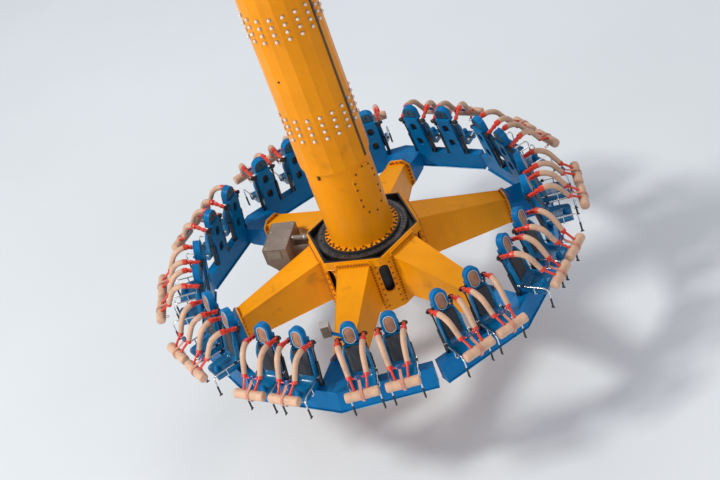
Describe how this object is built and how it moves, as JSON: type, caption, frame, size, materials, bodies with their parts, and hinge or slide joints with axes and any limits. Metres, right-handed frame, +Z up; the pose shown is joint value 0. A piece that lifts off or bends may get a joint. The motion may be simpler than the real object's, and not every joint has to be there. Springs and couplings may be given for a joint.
{
  "type": "pendulum ride gondola on its swing arm",
  "caption": "Swing arm of a pendulum ride with a rotating gondola: a ring of outward-facing seats on spokes, each with its own over-shoulder restraint.",
  "frame": {"origin": "centre of the top face of the arm's flange", "axes": "+Z up the arm out of the flange, +X towards a pair of seats"},
  "size_m": [8.13, 8.13, 7.25],
  "materials": {
    "arm_paint": "gloss",
    "hub_paint": "gloss",
    "greased_steel": "greasy",
    "ring_paint": "gloss",
    "seat_shell": "gloss",
    "dark_pad": "matt",
    "tan_pad": "satin",
    "rail_chrome": "polished",
    "cover_paint": "satin",
    "duct_black": "matt",
    "cylinder_black": "satin",
    "restraint_pad": "satin"
  },
  "bodies": {
    "arm": {"arm_flange": "arm_paint", "arm_sleeve": "arm_paint", "seam_ring": "arm_paint", "lower_tube": "arm_paint", "hatch_cover": "arm_paint", "foot_flange": "arm_paint", "slewing_gear": "greased_steel", "cable_duct": "duct_black", "flange_gussets": "arm_paint"},
    "gondola": {"bearing_ring": "greased_steel", "hub_rim": "hub_paint", "hub_floor": "greased_steel", "hub_face_plates": "hub_paint", "hub_corner_panels": "hub_paint", "hub_bottom_plate": "hub_paint", "spokes": "hub_paint", "ring_segments": "ring_paint", "seat_posts": "ring_paint", "seat_shells": "seat_shell", "back_pads": "dark_pad", "head_pads": "tan_pad", "side_rails": "rail_chrome", "drive_cover": "cover_paint", "lock_cylinders": "cylinder_black", "control_box": "cover_paint"},
    "restraint_01": {"restraint_01": "restraint_pad"},
    "restraint_02": {"restraint_02": "restraint_pad"},
    "restraint_03": {"restraint_03": "restraint_pad"},
    "restraint_04": {"restraint_04": "restraint_pad"},
    "restraint_05": {"restraint_05": "restraint_pad"},
    "restraint_06": {"restraint_06": "restraint_pad"},
    "restraint_07": {"restraint_07": "restraint_pad"},
    "restraint_08": {"restraint_08": "restraint_pad"},
    "restraint_09": {"restraint_09": "restraint_pad"},
    "restraint_10": {"restraint_10": "restraint_pad"},
    "restraint_11": {"restraint_11": "restraint_pad"},
    "restraint_12": {"restraint_12": "restraint_pad"},
    "restraint_13": {"restraint_13": "restraint_pad"},
    "restraint_14": {"restraint_14": "restraint_pad"},
    "restraint_15": {"restraint_15": "restraint_pad"},
    "restraint_16": {"restraint_16": "restraint_pad"},
    "restraint_17": {"restraint_17": "restraint_pad"},
    "restraint_18": {"restraint_18": "restraint_pad"},
    "restraint_19": {"restraint_19": "restraint_pad"},
    "restraint_20": {"restraint_20": "restraint_pad"},
    "restraint_21": {"restraint_21": "restraint_pad"},
    "restraint_22": {"restraint_22": "restraint_pad"},
    "restraint_23": {"restraint_23": "restraint_pad"},
    "restraint_24": {"restraint_24": "restraint_pad"}
  },
  "joints": [
    {"name": "gondola_spin", "type": "hinge", "parent": "arm", "child": "gondola", "pos_m": [0, 0, -6], "axis": [0, 0, 1], "continuous": true},
    {"name": "restraint_01_hinge", "type": "hinge", "parent": "gondola", "child": "restraint_01", "pos_m": [3.03284, -0.35, -5.9], "axis": [0, -1, 0], "range_deg": [0, 95]},
    {"name": "restraint_02_hinge", "type": "hinge", "parent": "gondola", "child": "restraint_02", "pos_m": [3.03284, 0.35, -5.9], "axis": [0, -1, 0], "range_deg": [0, 95]},
    {"name": "restraint_03_hinge", "type": "hinge", "parent": "gondola", "child": "restraint_03", "pos_m": [2.80151, 1.21331, -5.9], "axis": [0.5, -0.866, 0], "range_deg": [0, 95]},
    {"name": "restraint_04_hinge", "type": "hinge", "parent": "gondola", "child": "restraint_04", "pos_m": [2.45151, 1.81953, -5.9], "axis": [0.5, -0.866, 0], "range_deg": [0, 95]},
    {"name": "restraint_05_hinge", "type": "hinge", "parent": "gondola", "child": "restraint_05", "pos_m": [1.81953, 2.45151, -5.9], "axis": [0.866, -0.5, 0], "range_deg": [0, 95]},
    {"name": "restraint_06_hinge", "type": "hinge", "parent": "gondola", "child": "restraint_06", "pos_m": [1.21331, 2.80151, -5.9], "axis": [0.866, -0.5, 0], "range_deg": [0, 95]},
    {"name": "restraint_07_hinge", "type": "hinge", "parent": "gondola", "child": "restraint_07", "pos_m": [0.35, 3.03284, -5.9], "axis": [1, 0, 0], "range_deg": [0, 95]},
    {"name": "restraint_08_hinge", "type": "hinge", "parent": "gondola", "child": "restraint_08", "pos_m": [-0.35, 3.03284, -5.9], "axis": [1, 0, 0], "range_deg": [0, 95]},
    {"name": "restraint_09_hinge", "type": "hinge", "parent": "gondola", "child": "restraint_09", "pos_m": [-1.21331, 2.80151, -5.9], "axis": [0.866, 0.5, 0], "range_deg": [0, 95]},
    {"name": "restraint_10_hinge", "type": "hinge", "parent": "gondola", "child": "restraint_10", "pos_m": [-1.81953, 2.45151, -5.9], "axis": [0.866, 0.5, 0], "range_deg": [0, 95]},
    {"name": "restraint_11_hinge", "type": "hinge", "parent": "gondola", "child": "restraint_11", "pos_m": [-2.45151, 1.81953, -5.9], "axis": [0.5, 0.866, 0], "range_deg": [0, 95]},
    {"name": "restraint_12_hinge", "type": "hinge", "parent": "gondola", "child": "restraint_12", "pos_m": [-2.80151, 1.21331, -5.9], "axis": [0.5, 0.866, 0], "range_deg": [0, 95]},
    {"name": "restraint_13_hinge", "type": "hinge", "parent": "gondola", "child": "restraint_13", "pos_m": [-3.03284, 0.35, -5.9], "axis": [0, 1, 0], "range_deg": [0, 95]},
    {"name": "restraint_14_hinge", "type": "hinge", "parent": "gondola", "child": "restraint_14", "pos_m": [-3.03284, -0.35, -5.9], "axis": [0, 1, 0], "range_deg": [0, 95]},
    {"name": "restraint_15_hinge", "type": "hinge", "parent": "gondola", "child": "restraint_15", "pos_m": [-2.80151, -1.21331, -5.9], "axis": [-0.5, 0.866, 0], "range_deg": [0, 95]},
    {"name": "restraint_16_hinge", "type": "hinge", "parent": "gondola", "child": "restraint_16", "pos_m": [-2.45151, -1.81953, -5.9], "axis": [-0.5, 0.866, 0], "range_deg": [0, 95]},
    {"name": "restraint_17_hinge", "type": "hinge", "parent": "gondola", "child": "restraint_17", "pos_m": [-1.81953, -2.45151, -5.9], "axis": [-0.866, 0.5, 0], "range_deg": [0, 95]},
    {"name": "restraint_18_hinge", "type": "hinge", "parent": "gondola", "child": "restraint_18", "pos_m": [-1.21331, -2.80151, -5.9], "axis": [-0.866, 0.5, 0], "range_deg": [0, 95]},
    {"name": "restraint_19_hinge", "type": "hinge", "parent": "gondola", "child": "restraint_19", "pos_m": [-0.35, -3.03284, -5.9], "axis": [-1, 0, 0], "range_deg": [0, 95]},
    {"name": "restraint_20_hinge", "type": "hinge", "parent": "gondola", "child": "restraint_20", "pos_m": [0.35, -3.03284, -5.9], "axis": [-1, 0, 0], "range_deg": [0, 95]},
    {"name": "restraint_21_hinge", "type": "hinge", "parent": "gondola", "child": "restraint_21", "pos_m": [1.21331, -2.80151, -5.9], "axis": [-0.866, -0.5, 0], "range_deg": [0, 95]},
    {"name": "restraint_22_hinge", "type": "hinge", "parent": "gondola", "child": "restraint_22", "pos_m": [1.81953, -2.45151, -5.9], "axis": [-0.866, -0.5, 0], "range_deg": [0, 95]},
    {"name": "restraint_23_hinge", "type": "hinge", "parent": "gondola", "child": "restraint_23", "pos_m": [2.45151, -1.81953, -5.9], "axis": [-0.5, -0.866, 0], "range_deg": [0, 95]},
    {"name": "restraint_24_hinge", "type": "hinge", "parent": "gondola", "child": "restraint_24", "pos_m": [2.80151, -1.21331, -5.9], "axis": [-0.5, -0.866, 0], "range_deg": [0, 95]}
  ]
}
